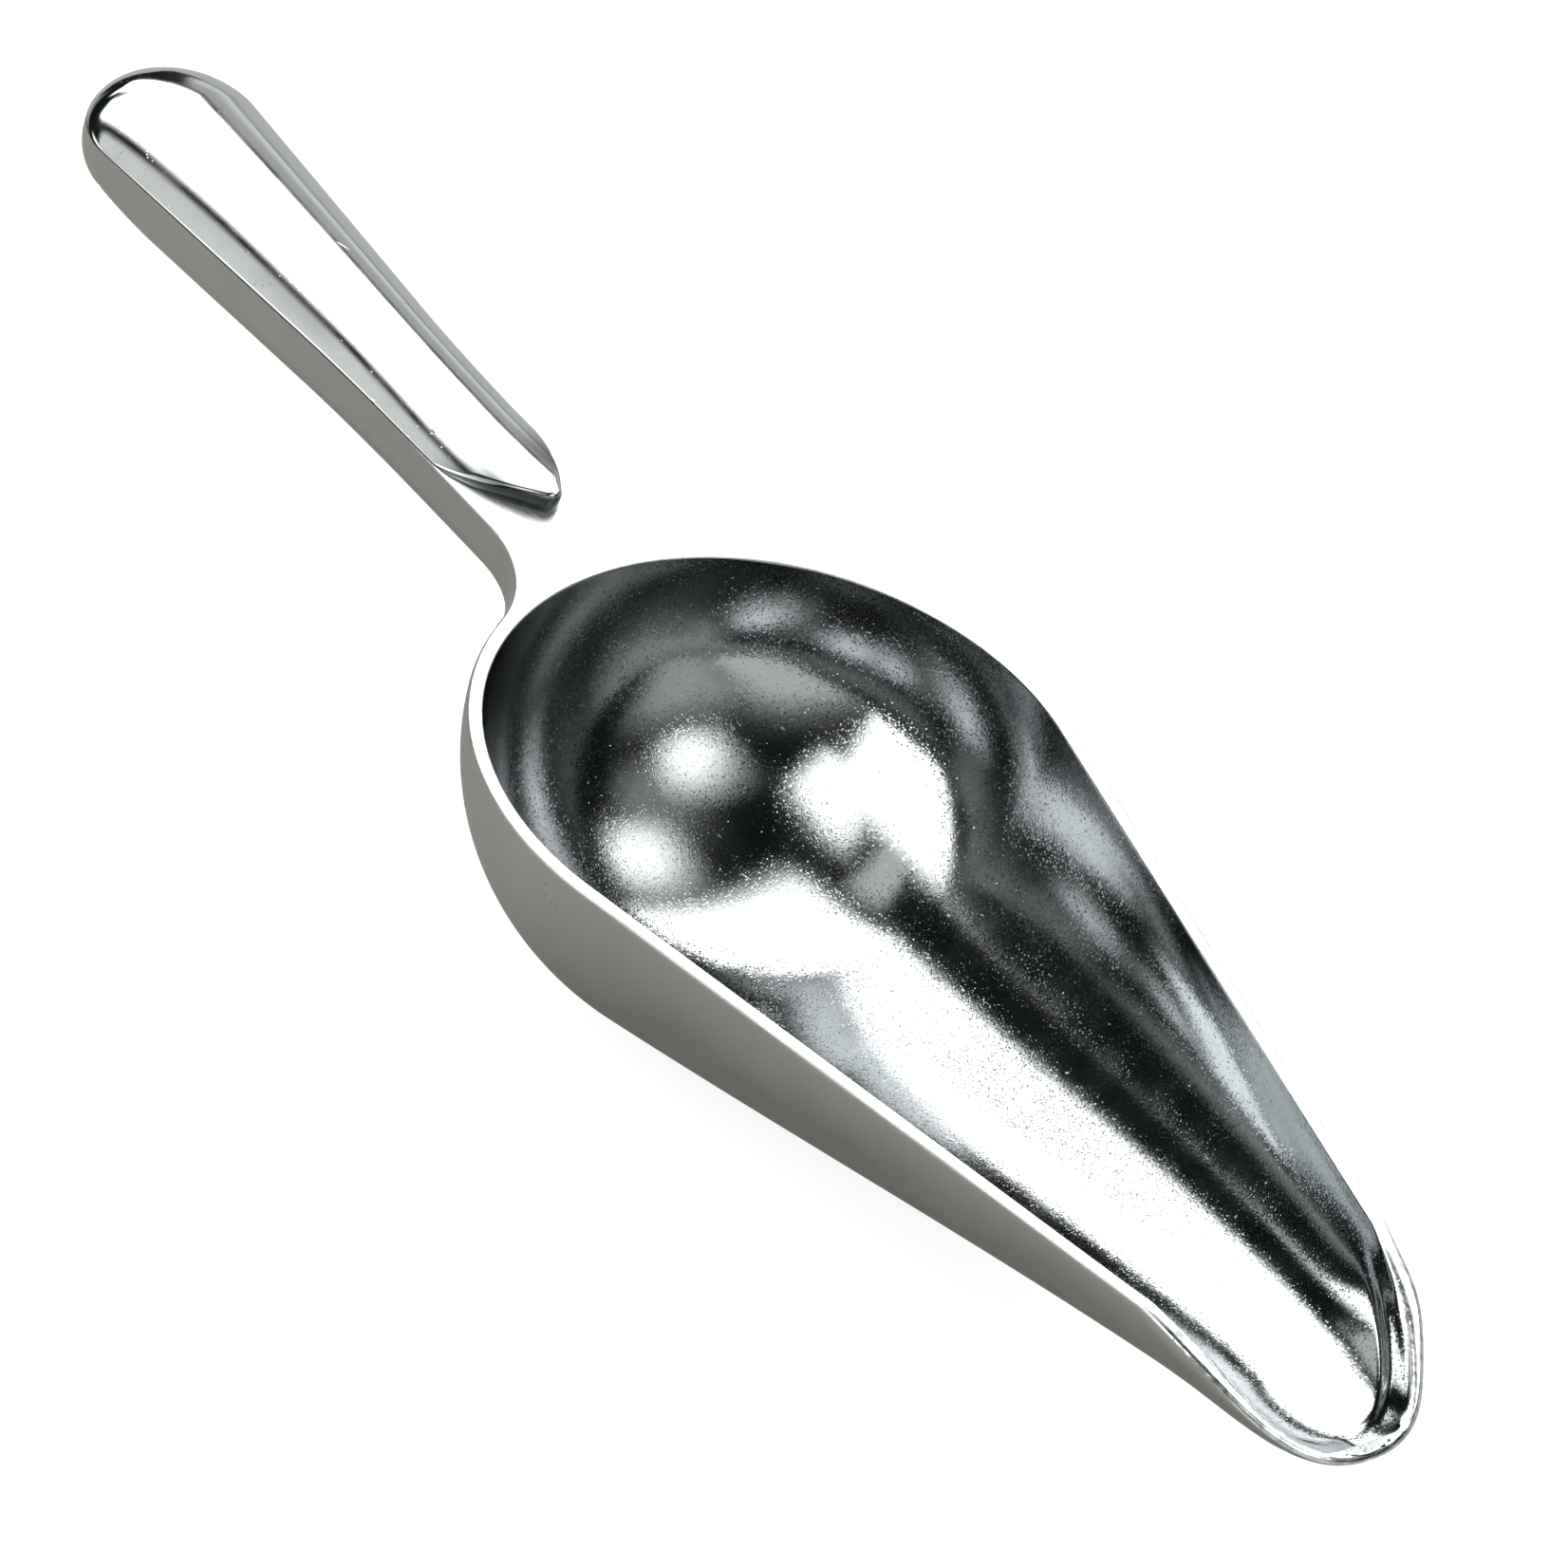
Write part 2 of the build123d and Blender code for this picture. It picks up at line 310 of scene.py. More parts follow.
def outline():
    """Half the casting's outline from butt to nose: each column's edge x and y, and its hub."""
    split_turn = math.asin((SPLIT_X - FLARE_X) / FLARE_RADIUS)
    butt = span(math.pi, GRIP_TURN, BUTT_COLUMNS)
    grip = span(0.0, 1.0, GRIP_COLUMNS)
    neck = span(TAPER_END, FLARE_X, NECK_COLUMNS)
    to_split = span(0.0, split_turn, SPLIT_COLUMNS)
    flare = span(split_turn, FLARE_TURN, FLARE_COLUMNS)
    rear = span(math.pi / 2 + FLARE_TURN, math.pi / 2 - SIDE_TAPER, REAR_COLUMNS)
    sides = np.linspace(BOWL_X + TANGENT, LIP_HUB, SIDE_COLUMNS)
    side_share = (sides - sides[0]) / (sides[-1] - sides[0])
    nose = np.linspace(math.pi / 2, 0, NOSE_COLUMNS + 1)[1:]

    edge_x = [GRIP_X + BUTT_LENGTH * np.cos(butt)]
    edge_y = [GRIP_HALF * np.sin(butt)]
    hub = [np.full(len(butt), GRIP_X)]
    edge_x += [GRIP_START_X + grip * (TAPER_END - GRIP_START_X), neck]
    edge_y += [GRIP_START_Y + grip * (TAPER_END_Y - GRIP_START_Y), handle_width(neck)]
    hub += [GRIP_X + grip * (TAPER_END - GRIP_X), neck]
    for turn in (to_split, flare):
        edge_x += [FLARE_X + FLARE_RADIUS * np.sin(turn)]
        edge_y += [NECK + FLARE_RADIUS * (1 - np.cos(turn))]
    level = span(SPLIT_X, BOWL_X - BOWL_RADIUS, ROOT_COLUMNS)
    down = BOWL_X - BOWL_RADIUS * np.cos(span(0.0, math.pi / 2, len(flare) - len(level)))
    hub += [FLARE_X + FLARE_RADIUS * np.sin(to_split), np.concatenate([level, down])]
    edge_x += [BOWL_X + BOWL_RADIUS * np.cos(rear)]
    edge_y += [BOWL_RADIUS * np.sin(rear)]
    hub += [np.full(len(rear), BOWL_X)]
    dipped = np.sqrt(1 - (top_height(sides) / keel_depth(sides - BOWL_X, 0)) ** 2)
    edge_x += [sides]
    edge_y += [half_width(sides - BOWL_X, 0) * dipped]
    hub += [BOWL_X + side_share * (LIP_HUB - BOWL_X)]
    nose_hub = np.full(len(nose), LIP_HUB)
    reach = crossing(nose_hub, np.cos(nose), np.sin(nose), bowl_field, 0)
    edge_x += [LIP_HUB + reach * np.cos(nose)]
    edge_y += [reach * np.sin(nose)]
    hub += [nose_hub]
    return np.concatenate(edge_x), np.concatenate(edge_y), np.concatenate(hub)


def sweep(field, inset, hub, rim_points, rows, skip):
    """Each column from its rim point down the surface to straight below the hub.

    The points are evenly spaced along the surface, the first one skip past the rim point.
    """
    toward = rim_points[:, :2] - np.stack([hub, np.zeros_like(hub)], 1)
    level = np.hypot(toward[:, 0], toward[:, 1])
    toward = toward / level[:, None]
    hub_z = top_height(hub)
    start = np.arctan2(rim_points[:, 2] - hub_z, level)
    share = np.linspace(0, 1, PATH_POINTS)[None, :]
    angle = start[:, None] + share * (-math.pi / 2 - start[:, None])

    def points_at(reach):
        x = hub[:, None] + reach * np.cos(angle) * toward[:, :1]
        y = reach * np.cos(angle) * toward[:, 1:]
        return x, y, hub_z[:, None] + reach * np.sin(angle)

    reach = how_far(angle.shape, lambda reach: field(*points_at(reach), inset) < 0)
    fine = np.stack(points_at(reach), 2)
    fine[:, 0] = rim_points
    fine[:, -1, 1] = 0.0
    result = np.zeros((len(hub), rows, 3))
    for i, path in enumerate(fine):
        steps = np.linalg.norm(np.diff(path, axis=0), axis=1)
        length = np.concatenate([[0], np.cumsum(steps)])
        wanted = np.linspace(skip[i], length[-1], rows)
        for axis in range(3):
            result[i, :, axis] = np.interp(wanted, length, path[:, axis])
    return result


def rounded(before, corner, after, steps):
    """A rounding from before to after, pulled towards the corner, ends left out."""
    t = (np.arange(1, steps) / steps)[None, :, None]
    return (1 - t) ** 2 * before[:, None] + 2 * t * (1 - t) * corner[:, None] + t**2 * after[:, None]


def straight(first, last, rows):
    """Evenly spaced points from first to last, both included."""
    t = np.linspace(0, 1, rows)[None, :, None]
    return first[:, None] * (1 - t) + last[:, None] * t


def on_top(x, y):
    """Points of the top surface above x, y."""
    return np.stack([x, y, top_height(x)], 1)


def reach_at(x, reaches):
    """An edge's reach at x, from its (x, reach) pairs."""
    return np.interp(x, *zip(*reaches))


def wandering(run):
    """The edges were ground by hand, so their reach wanders slowly along the outline."""
    slow, slower, quick = run * 0.11, run * 0.043 + 1.0, run * 0.31
    return 1 + EDGE_WANDER * (np.sin(slow) * np.sin(slower) + 0.5 * np.sin(quick))


edge_x, edge_y, outer_hub = outline()
edges = on_top(edge_x, edge_y)
columns = len(edge_x)
split_column = BUTT_COLUMNS + GRIP_COLUMNS + NECK_COLUMNS + SPLIT_COLUMNS
wall_column = split_column + ROOT_COLUMNS
rear_column = split_column + FLARE_COLUMNS
column_run = np.concatenate([[0], np.cumsum(np.hypot(np.diff(edge_x), np.diff(edge_y)))])

outer_on_top = reach_at(edge_x, OUTER_ON_TOP) * wandering(column_run)
outer_down = reach_at(edge_x, OUTER_DOWN) * wandering(column_run)

# Inner end of the top surface in each column: the axis behind the bowl, then the inner rim
cavity = slice(wall_column, columns)
inner_hub = np.where(np.arange(columns) < rear_column, BOWL_X, outer_hub)[cavity]
rear_angle = np.arctan2(edge_y[rear_column], edge_x[rear_column] - BOWL_X)
turning = span(math.pi, rear_angle, rear_column - wall_column)
toward = np.stack([edge_x[cavity] - inner_hub, edge_y[cavity]], 1)
toward[: len(turning)] = np.stack([np.cos(turning), np.sin(turning)], 1)
toward /= np.linalg.norm(toward, axis=1)[:, None]
toward[0] = (-1.0, 0.0)
inner_reach = crossing(inner_hub, toward[:, 0], toward[:, 1], cavity_field, WALL)
to_front = (LIP_FRONT - inner_hub) / np.maximum(toward[:, 0], 0.01)
inner_reach = np.where(inner_hub >= LIP_HUB, np.minimum(inner_reach, to_front), inner_reach)
rim_x = inner_hub + inner_reach * toward[:, 0]
rim_y = inner_reach * toward[:, 1]
inner_edges = on_top(rim_x, rim_y)
inner_on_top = reach_at(rim_x, INNER_ON_TOP)
top_inner = on_top(rim_x + inner_on_top * toward[:, 0], rim_y + inner_on_top * toward[:, 1])

top_start = on_top(outer_hub, np.zeros(columns))
level = slice(split_column, wall_column)
top_start[level, 0] = span(SPLIT_X, top_inner[0, 0], ROOT_COLUMNS)
top_start[cavity] = top_inner

to_edge = edges[:, :2] - top_start[:, :2]
to_edge /= np.linalg.norm(to_edge, axis=1)[:, None]
before = on_top(edge_x - outer_on_top * to_edge[:, 0], edge_y - outer_on_top * to_edge[:, 1])
outside = sweep(outside_field, 0, outer_hub, edges, OUTSIDE_ROWS, outer_down)
inside = sweep(cavity_field, WALL, inner_hub, inner_edges, INSIDE_ROWS, reach_at(rim_x, INNER_DOWN))
top = straight(top_start, before, TOP_ROWS)
top[:, :, 2] = top_height(top[:, :, 0])
outer_edge = rounded(before, edges, outside[:, 0], EDGE_ROWS)
inner_edge = rounded(inside[:, 0], inner_edges, top_inner, EDGE_ROWS)


def finish_nose(points):
    """The nose as it was finished by hand."""
    x, y, z = points.T
    forward = ease(x, LIP_START[0], LIP_END[0] - LIP_START[0])
    fuller = NOSE_FULLER * np.exp(-(((x - NOSE_FULLEST_X) / NOSE_FULLER_LENGTH) ** 2))
    fuller *= np.clip(y / NOSE_FULLER_SIDE, 0, 1) * np.clip(1 + z / NOSE_FULLER_DEPTH, 0, 1)
    fuller = np.where(x > NOSE_FULLER_START, fuller, 0)
    return np.stack([x - NOSE_SHORT * forward, y + fuller, z - NOSE_DROOP * forward], 1)


def sway_foot(points):
    """The crown's foot, lying a little to one side."""
    x, y, z = points.T
    t = np.clip((x - CROWN_SHOULDER) / (CROWN_FOOT - CROWN_SHOULDER), 0, 1)
    return np.stack([x, y + CROWN_FOOT_SWAY * t**2, z], 1)


# ---------------------------------------------------------------- making meshes
BRIGHT_INSIDE, GROUND_TOP, SATIN_OUTSIDE = 0, 1, 2
FINISH_OVERLAP = 2  # strips of an edge's rounding with the finish of the surface before it
WELD_DIGITS = 4  # points are one when they agree to this many decimals of a millimetre


def keys_of(points):
    """Points in the same place have the same key. Adding zero makes -0.0 into 0.0."""
    return np.round(points, WELD_DIGITS) + 0.0


class Shell:
    """Grids of points, welded where they meet, with normals weighted by area."""

    def __init__(self):
        self.points = []
        self.along = []
        self.quads = []
        self.tags = []
        self.size = 0

    def grid(self, points, along, across, finishes, pieces):
        """Adds a grid and its mirror image. finishes is per row gap, pieces per column gap."""
        n, m = points.shape[:2]
        ids = np.arange(n * m).reshape(n, m)
        uv = np.stack(np.broadcast_arrays(along[:, None], across), 2)
        for side in (1, -1):
            self.points.append(points.reshape(-1, 3) * (1, side, 1))
            self.along.append(uv.reshape(-1, 2) * (1, side))
            quads = np.stack([ids[:-1, :-1], ids[1:, :-1], ids[1:, 1:], ids[:-1, 1:]], 2)
            if side < 0:
                quads = quads[:, :, ::-1]
            self.quads.append(quads.reshape(-1, 4) + self.size)
            tag = np.zeros((n - 1, m - 1, 2), int)
            tag[:, :, 0] = np.broadcast_to(finishes, (n - 1, m - 1))
            tag[:, :, 1] = np.asarray(pieces)[:, None]
            self.tags.append(tag.reshape(-1, 2))
            self.size += n * m

    def weld(self, shaping):
        """Shapes the points, joins those in the same place and works out a normal at each."""
        points = shaping(np.concatenate(self.points))
        _, first, same = np.unique(keys_of(points), axis=0, return_index=True, return_inverse=True)
        self.place = points[first]
        self.quad = same.reshape(-1)[np.concatenate(self.quads)]
        self.corner_uv = np.concatenate(self.along)[np.concatenate(self.quads)]
        self.tag = np.concatenate(self.tags)
        a, b, c, d = (self.place[self.quad[:, i]] for i in range(4))
        area = np.cross(c - a, d - b)
        volume = np.einsum("ij,ij->i", (a + b + c + d) / 4, area).sum()
        if volume < 0:
            self.quad = self.quad[:, ::-1]
            self.corner_uv = self.corner_uv[:, ::-1]
            area = -area
        normal = np.zeros_like(self.place)
        for i in range(4):
            np.add.at(normal, self.quad[:, i], area)
        self.normal = normal / np.maximum(np.linalg.norm(normal, axis=1), 1e-9)[:, None]

    def piece(self, name, number, caps=()):
        """One closed piece of the shell. A cap is a ring of welded points and its normal."""
        chosen = self.tag[:, 1] == number
        faces, uvs, normals, slots = [], [], [], []
        for quad, uv, tag in zip(self.quad[chosen], self.corner_uv[chosen], self.tag[chosen]):
            kept = [i for i in range(4) if quad[i] != quad[i - 1]]
            if len(kept) < 3 or len({quad[i] for i in kept}) < len(kept):
                continue
            faces.append([int(quad[i]) for i in kept])
            uvs += [uv[i] for i in kept]
            normals += [self.normal[quad[i]] for i in kept]
            slots.append(int(tag[0]))
        for ring, direction in caps:
            faces.append(ring)
            uvs += [self.place[i][1:] for i in ring]
            normals += [direction] * len(ring)
            slots.append(GROUND_TOP)
        used = sorted({i for face in faces for i in face})
        new = {old: i for i, old in enumerate(used)}
        faces = [[new[i] for i in face] for face in faces]
        mesh = bpy.data.meshes.new(name)
        mesh.from_pydata((self.place[used] * MM).tolist(), [], faces)
        mesh.uv_layers.new(name="along").data.foreach_set("uv", np.array(uvs, np.float32).ravel())
        mesh.polygons.foreach_set("material_index", slots)
        mesh.polygons.foreach_set("use_smooth", [True] * len(slots))
        mesh.normals_split_custom_set([tuple(n) for n in normals])
        mesh.update()
        made = bpy.data.objects.new(name, mesh)
        bpy.context.scene.collection.objects.link(made)
        return made


def run_across(points):
    """Distance along each column, starting from its first point."""
    steps = np.linalg.norm(np.diff(points, axis=1), axis=2)
    return np.concatenate([np.zeros((len(points), 1)), np.cumsum(steps, 1)], 1)


shell = Shell()
skin = np.concatenate([top, outer_edge, outside], 1)
lining = np.concatenate([inside[:, ::-1], inner_edge, top_inner[:, None]], 1)
skin_rows = np.arange(skin.shape[1] - 1)
lining_rows = np.arange(lining.shape[1] - 1)
HANDLE_BASE, BOWL = 0, 1
skin_pieces = np.where(np.arange(columns - 1) < split_column, HANDLE_BASE, BOWL)
skin_finish = np.where(skin_rows < TOP_ROWS - 1 + FINISH_OVERLAP, GROUND_TOP, SATIN_OUTSIDE)
shell.grid(skin, column_run, run_across(skin), skin_finish, skin_pieces)
lining_finish = np.where(lining_rows < INSIDE_ROWS - 1 + FINISH_OVERLAP, BRIGHT_INSIDE, GROUND_TOP)
lining_across = run_across(lining) - run_across(lining)[:, -1:]
shell.grid(lining, column_run[cavity], lining_across, lining_finish, np.full(len(lining) - 1, BOWL))
shell.weld(finish_nose)

# Where the neck is divided, both pieces are closed by the same flat section
cut = skin[split_column]
ring_points = np.concatenate([cut, cut[-2:0:-1] * (1, -1, 1)])
places = {tuple(key): i for i, key in enumerate(keys_of(shell.place))}
ring = [places[tuple(key)] for key in keys_of(ring_points)]
handle_base = shell.piece("handle_base_casting", HANDLE_BASE, [(ring[::-1], (1.0, 0.0, 0.0))])
bowl = shell.piece("bowl_casting", BOWL, [(ring, (-1.0, 0.0, 0.0))])


# ---------------------------------------------------------------- handle crown
def crown_height_at(x):
    """Height of the crown on its centre line."""
    middle = (CROWN_HEIGHT + CROWN_SHOULDER_HEIGHT) / 2
    known_x = (GRIP_X, TAPER_END, CROWN_SHOULDER, CROWN_FOOT)
    known_height = (CROWN_HEIGHT, middle, CROWN_SHOULDER_HEIGHT, CROWN_FOOT_HEIGHT)
    return np.polyval(np.polyfit(known_x, known_height, 3), np.maximum(x, GRIP_X))


def crown_top(x, y):
    """The crown's skin: a flat circular arch across the handle, turned about the butt's centre."""
    out = np.where(x < GRIP_X, np.hypot(x - GRIP_X, y), np.abs(y))
    half = handle_width(np.clip(x, GRIP_X, FLARE_X)) + PARTING_STEP
    half = np.where(x < GRIP_X, GRIP_HALF + PARTING_STEP, half)
    high = crown_height_at(x)
    radius = (half**2 + high**2) / (2 * high)
    return high - radius + np.sqrt(np.maximum(radius**2 - out**2, 0))


# The crown's outline from butt to foot
butt = span(math.pi, GRIP_TURN, CROWN_BUTT_COLUMNS)
grip = span(0.0, 1.0, CROWN_GRIP_COLUMNS)
neck = span(TAPER_END, CROWN_SHOULDER, CROWN_NECK_COLUMNS)
foot = span(0.0, 1.0, CROWN_FOOT_COLUMNS)
tip = np.linspace(CROWN_FOOT_TURN, 0, CROWN_TIP_COLUMNS)
foot_x = CROWN_FOOT - CROWN_FOOT_RADIUS
foot_start = np.array([CROWN_SHOULDER, CROWN_SHOULDER_WIDTH])
foot_end = CROWN_FOOT_RADIUS * np.array([math.cos(CROWN_FOOT_TURN), math.sin(CROWN_FOOT_TURN)])
foot_end += (foot_x, 0)
chord = np.linalg.norm(foot_end - foot_start)
leave = np.array([1.0, CROWN_SHOULDER_SLOPE]) * chord
arrive = np.array([math.sin(CROWN_FOOT_TURN), -math.cos(CROWN_FOOT_TURN)]) * chord * CROWN_FOOT_PULL
foot_curve = hermite(foot[:, None], foot_start, leave, foot_end, arrive)
foot_curve[:, 1] = np.minimum(foot_curve[:, 1], handle_width(foot_curve[:, 0]))
crown_x = np.concatenate([
    GRIP_X + BUTT_LENGTH * np.cos(butt),
    GRIP_START_X + grip * (TAPER_END - GRIP_START_X),
    neck,
    foot_curve[:, 0],
    foot_x + CROWN_FOOT_RADIUS * np.cos(tip),
])
crown_y = np.concatenate([
    GRIP_HALF * np.sin(butt),
    GRIP_START_Y + grip * (TAPER_END_Y - GRIP_START_Y),
    handle_width(neck),
    foot_curve[:, 1],
    CROWN_FOOT_RADIUS * np.sin(tip),
])
crown_hub = np.concatenate([
    np.full(len(butt), GRIP_X),
    GRIP_X + grip * (TAPER_END - GRIP_X),
    neck,
    CROWN_SHOULDER + foot * (foot_x - CROWN_SHOULDER),
    np.full(len(tip), foot_x),
])
crown_run = np.concatenate([[0], np.cumsum(np.hypot(np.diff(crown_x), np.diff(crown_y)))])

# Its skin in each column: underneath, up the wall, over the rounded edge and across the arch
hubs = np.stack([crown_hub, np.zeros_like(crown_hub)], 1)
plan = np.stack([crown_x, crown_y], 1)
width = np.linalg.norm(plan - hubs, axis=1)
edge_height = crown_top(crown_x, crown_y)
at_butt = np.clip((GRIP_START_X - crown_x) / BUTT_LENGTH, 0, 1)
edge_round = np.minimum(edge_height * CROWN_EDGE_SHARE, CROWN_EDGE) + BUTT_EDGE * at_butt
rolled = edge_round + BUTT_ROLL * at_butt * (2 - at_butt)
t = (rolled / width)[:, None] + (1 - rolled / width)[:, None] * np.linspace(0, 1, CROWN_TOP_ROWS)
arch = plan[:, None] * (1 - t[:, :, None]) + hubs[:, None] * t[:, :, None]
arch = np.concatenate([arch, crown_top(arch[:, :, 0], arch[:, :, 1])[:, :, None]], 2)
flat_zero = np.zeros((len(plan), 1))
under = np.stack([np.concatenate([hubs, flat_zero], 1), np.concatenate([plan, flat_zero], 1)], 1)
wall_top = np.concatenate([plan, (edge_height - edge_round)[:, None]], 1)
corner = np.concatenate([plan, edge_height[:, None]], 1)
turn_over = rounded(wall_top, corner, arch[:, 0], CROWN_EDGE_ROWS)
crown_skin = np.concatenate([under, wall_top[:, None], turn_over, arch], 1)

CROWN, POLISHED = 0, 0  # one piece with one finish
crown_shell = Shell()
crown_pieces = np.full(len(plan) - 1, CROWN)
crown_shell.grid(crown_skin, crown_run, run_across(crown_skin), POLISHED, crown_pieces)
crown_shell.weld(sway_foot)
crown = crown_shell.piece("handle_crown_casting", CROWN)


# ---------------------------------------------------------------- materials
class Nodes:
    """Small helper that adds nodes and joins them, so that a material reads as one sum."""

    def __init__(self, tree):
        self.tree = tree

    def put(self, kind, inputs=(), output=0, **settings):
        node = self.tree.nodes.new(kind)
        for name, value in settings.items():
            setattr(node, name, value)
        for key, value in dict(inputs).items():
            if isinstance(value, bpy.types.NodeSocket):
                self.tree.links.new(value, node.inputs[key])
            else:
                node.inputs[key].default_value = value
        return node.outputs[output]

    def parts(self, vector):
        """The x, y and z of a vector."""
        node = self.tree.nodes.new("ShaderNodeSeparateXYZ")
        self.tree.links.new(vector, node.inputs[0])
        return tuple(node.outputs)

    def maths(self, operation, a, b=0.0):
        return self.put("ShaderNodeMath", {0: a, 1: b}, operation=operation)

    def ramp(self, value, start, end, low=0.0, high=1.0):
        """Runs smoothly from low at start to high at end."""
        inputs = {"Value": value, "From Min": start, "From Max": end, "To Min": low, "To Max": high}
        return self.put("ShaderNodeMapRange", inputs, interpolation_type="SMOOTHSTEP")

    def mix(self, share, a, b):
        return self.put("ShaderNodeMix", {0: share, 6: a, 7: b}, output=2, data_type="RGBA")


class Metal(Nodes):
    """A metal material: colour, roughness and relief are set at the end."""

    def __init__(self, name):
        self.material = bpy.data.materials.new(name)
        self.material.use_nodes = True
        super().__init__(self.material.node_tree)
        self.place = self.put("ShaderNodeTexCoord", output="Object")
        self.along = self.put("ShaderNodeUVMap", uv_map="along")

    def laid(self, place, turn, stretch):
        """Coordinates turned about the upright axis and then divided by a stretch."""
        inputs = {"Vector": place, "Rotation": (0, 0, turn), "Scale": stretch}
        return self.put("ShaderNodeMapping", inputs, vector_type="TEXTURE")

    def noise(self, scale, detail=2.0, place=None):
        """Cloudy noise, scale in cells per metre unless another place is given."""
        place = self.place if place is None else place
        return self.put("ShaderNodeTexNoise", {"Vector": place, "Scale": scale, "Detail": detail})

    def spots(self, scale, size, place=None):
        """Round spots, size in cells."""
        place = self.place if place is None else place
        far = self.put("ShaderNodeTexVoronoi", {"Vector": place, "Scale": scale})
        return self.ramp(far, size, size * 0.3)

    def scratches(self, turn, scale, slimness, size):
        """Short fine straight scratches along one direction."""
        return self.spots(scale, size, self.laid(self.place, turn, (slimness, 1, 1)))

    def marks(self, centres, radius):
        """Single small marks, centres and radius in millimetres."""
        total = 0.0
        for centre in centres:
            inputs = {0: self.place, 1: [value * MM for value in centre]}
            far = self.put("ShaderNodeVectorMath", inputs, output="Value", operation="DISTANCE")
            total = self.maths("ADD", self.ramp(far, radius * MM, radius * MM * 0.4), total)
        return total

    def patchy(self, pattern, scale, start, end, detail=2.0):
        """A pattern that shows only in patches."""
        return self.maths("MULTIPLY", pattern, self.ramp(self.noise(scale, detail), start, end))

    def raised(self, value, pattern, amount):
        """A value that is greater by an amount where a pattern shows."""
        return self.maths("ADD", value, self.maths("MULTIPLY", pattern, amount))

    def relief(self, *layers):
        """Layers of relief, each a height and its depth in millimetres."""
        normal = None
        for height, depth in layers:
            inputs = {"Strength": 1.0, "Distance": depth * MM, "Height": height}
            if normal is not None:
                inputs["Normal"] = normal
            normal = self.put("ShaderNodeBump", inputs)
        return normal

    def flecks(self, normal, scale, size, share, tilt):
        """Tiny bright and dark facets: a share of the cells of a fine net lean at random."""
        cells = {"Vector": self.place, "Scale": scale}
        far = self.put("ShaderNodeTexVoronoi", cells)
        lean = self.put("ShaderNodeTexVoronoi", cells, output="Color")
        chance = self.put("ShaderNodeSeparateColor", {0: lean})
        chosen = self.ramp(chance, share, share - 0.05)
        shown = self.maths("MULTIPLY", chosen, self.ramp(far, size, size * 0.6))
        amount = self.maths("MULTIPLY", shown, tilt)
        middle = (0.5, 0.5, 0.5)
        centred = self.put("ShaderNodeVectorMath", {0: lean, 1: middle}, operation="SUBTRACT")
        leaning = self.put("ShaderNodeVectorMath", {0: centred, "Scale": amount}, operation="SCALE")
        total = self.put("ShaderNodeVectorMath", {0: normal, 1: leaning}, operation="ADD")
        return self.put("ShaderNodeVectorMath", {0: total}, operation="NORMALIZE")

    def finish(self, colour, roughness, normal):
        shader = self.tree.nodes["Principled BSDF"]
        shader.inputs["Metallic"].default_value = 1.0
        for socket, value in (("Base Color", colour), ("Roughness", roughness), ("Normal", normal)):
            self.tree.links.new(value, shader.inputs[socket])
        return self.material


# Small marks from use, in the row frame
BOWL_MARKS = ((18.0, -6.0, -30.0), (3.0, -12.0, -17.0), (30.0, -26.0, -24.0), (100.0, 24.0, -3.0))
BOWL_MARK_RADIUS = 1.4
PARTING_NICKS = ((-42.0, -9.3, 0.5), (-37.0, -8.9, 0.5), (-29.6, -8.8, 0.5))
PARTING_NICK_RADIUS = 0.8

# The crown has painted shade: it is darker down at the parting line, and a painted dark reflection
# lies under the rounding of its foot
PARTING_PAINTED_SHADE_FROM, PARTING_PAINTED_SHADE_FULL = 0.45, 0.2
FOOT_PAINTED_DARK_FROM, FOOT_PAINTED_DARK_FULL = CROWN_FOOT_HEIGHT - 0.1, CROWN_FOOT_HEIGHT - 0.9


def bright_inside():
    """Polished by hand over the grain of the casting."""
    metal = Metal("bright_inside")
    soft = metal.noise(scale=60.0)
    peel = metal.noise(scale=300.0)
    grain = metal.noise(scale=3000.0, detail=3.0)
    pips = metal.spots(scale=2000.0, size=0.36)
    pips = metal.patchy(pips, scale=110.0, start=0.38, end=0.62, detail=3.0)
    scratch = metal.maths(
        "MAXIMUM",
        metal.scratches(turn=0.35, scale=420.0, slimness=26.0, size=0.07),
        metal.scratches(turn=1.9, scale=360.0, slimness=20.0, size=0.06),
    )
    marks = metal.marks(BOWL_MARKS, BOWL_MARK_RADIUS)
    worn = metal.maths("ADD", scratch, marks)
    normal = metal.relief((soft, 0.02), (peel, 0.003), (grain, 0.0055), (pips, 0.008), (worn, -0.02))
    normal = metal.flecks(normal, scale=3600.0, size=0.60, share=0.60, tilt=0.11)
    normal = metal.flecks(normal, scale=2200.0, size=0.24, share=0.12, tilt=0.50)
    rough = metal.ramp(metal.noise(scale=150.0, detail=3.0), start=0.3, end=0.7, low=0.09, high=0.13)
    rough = metal.raised(rough, scratch, 0.2)
    darker, lighter, in_marks = (0.39, 0.41, 0.415, 1), (0.46, 0.48, 0.485, 1), (0.16, 0.17, 0.17, 1)
    colour = metal.mix(metal.noise(scale=900.0, detail=3.0), darker, lighter)
    colour = metal.mix(marks, colour, in_marks)
    return metal.finish(colour, rough, normal)


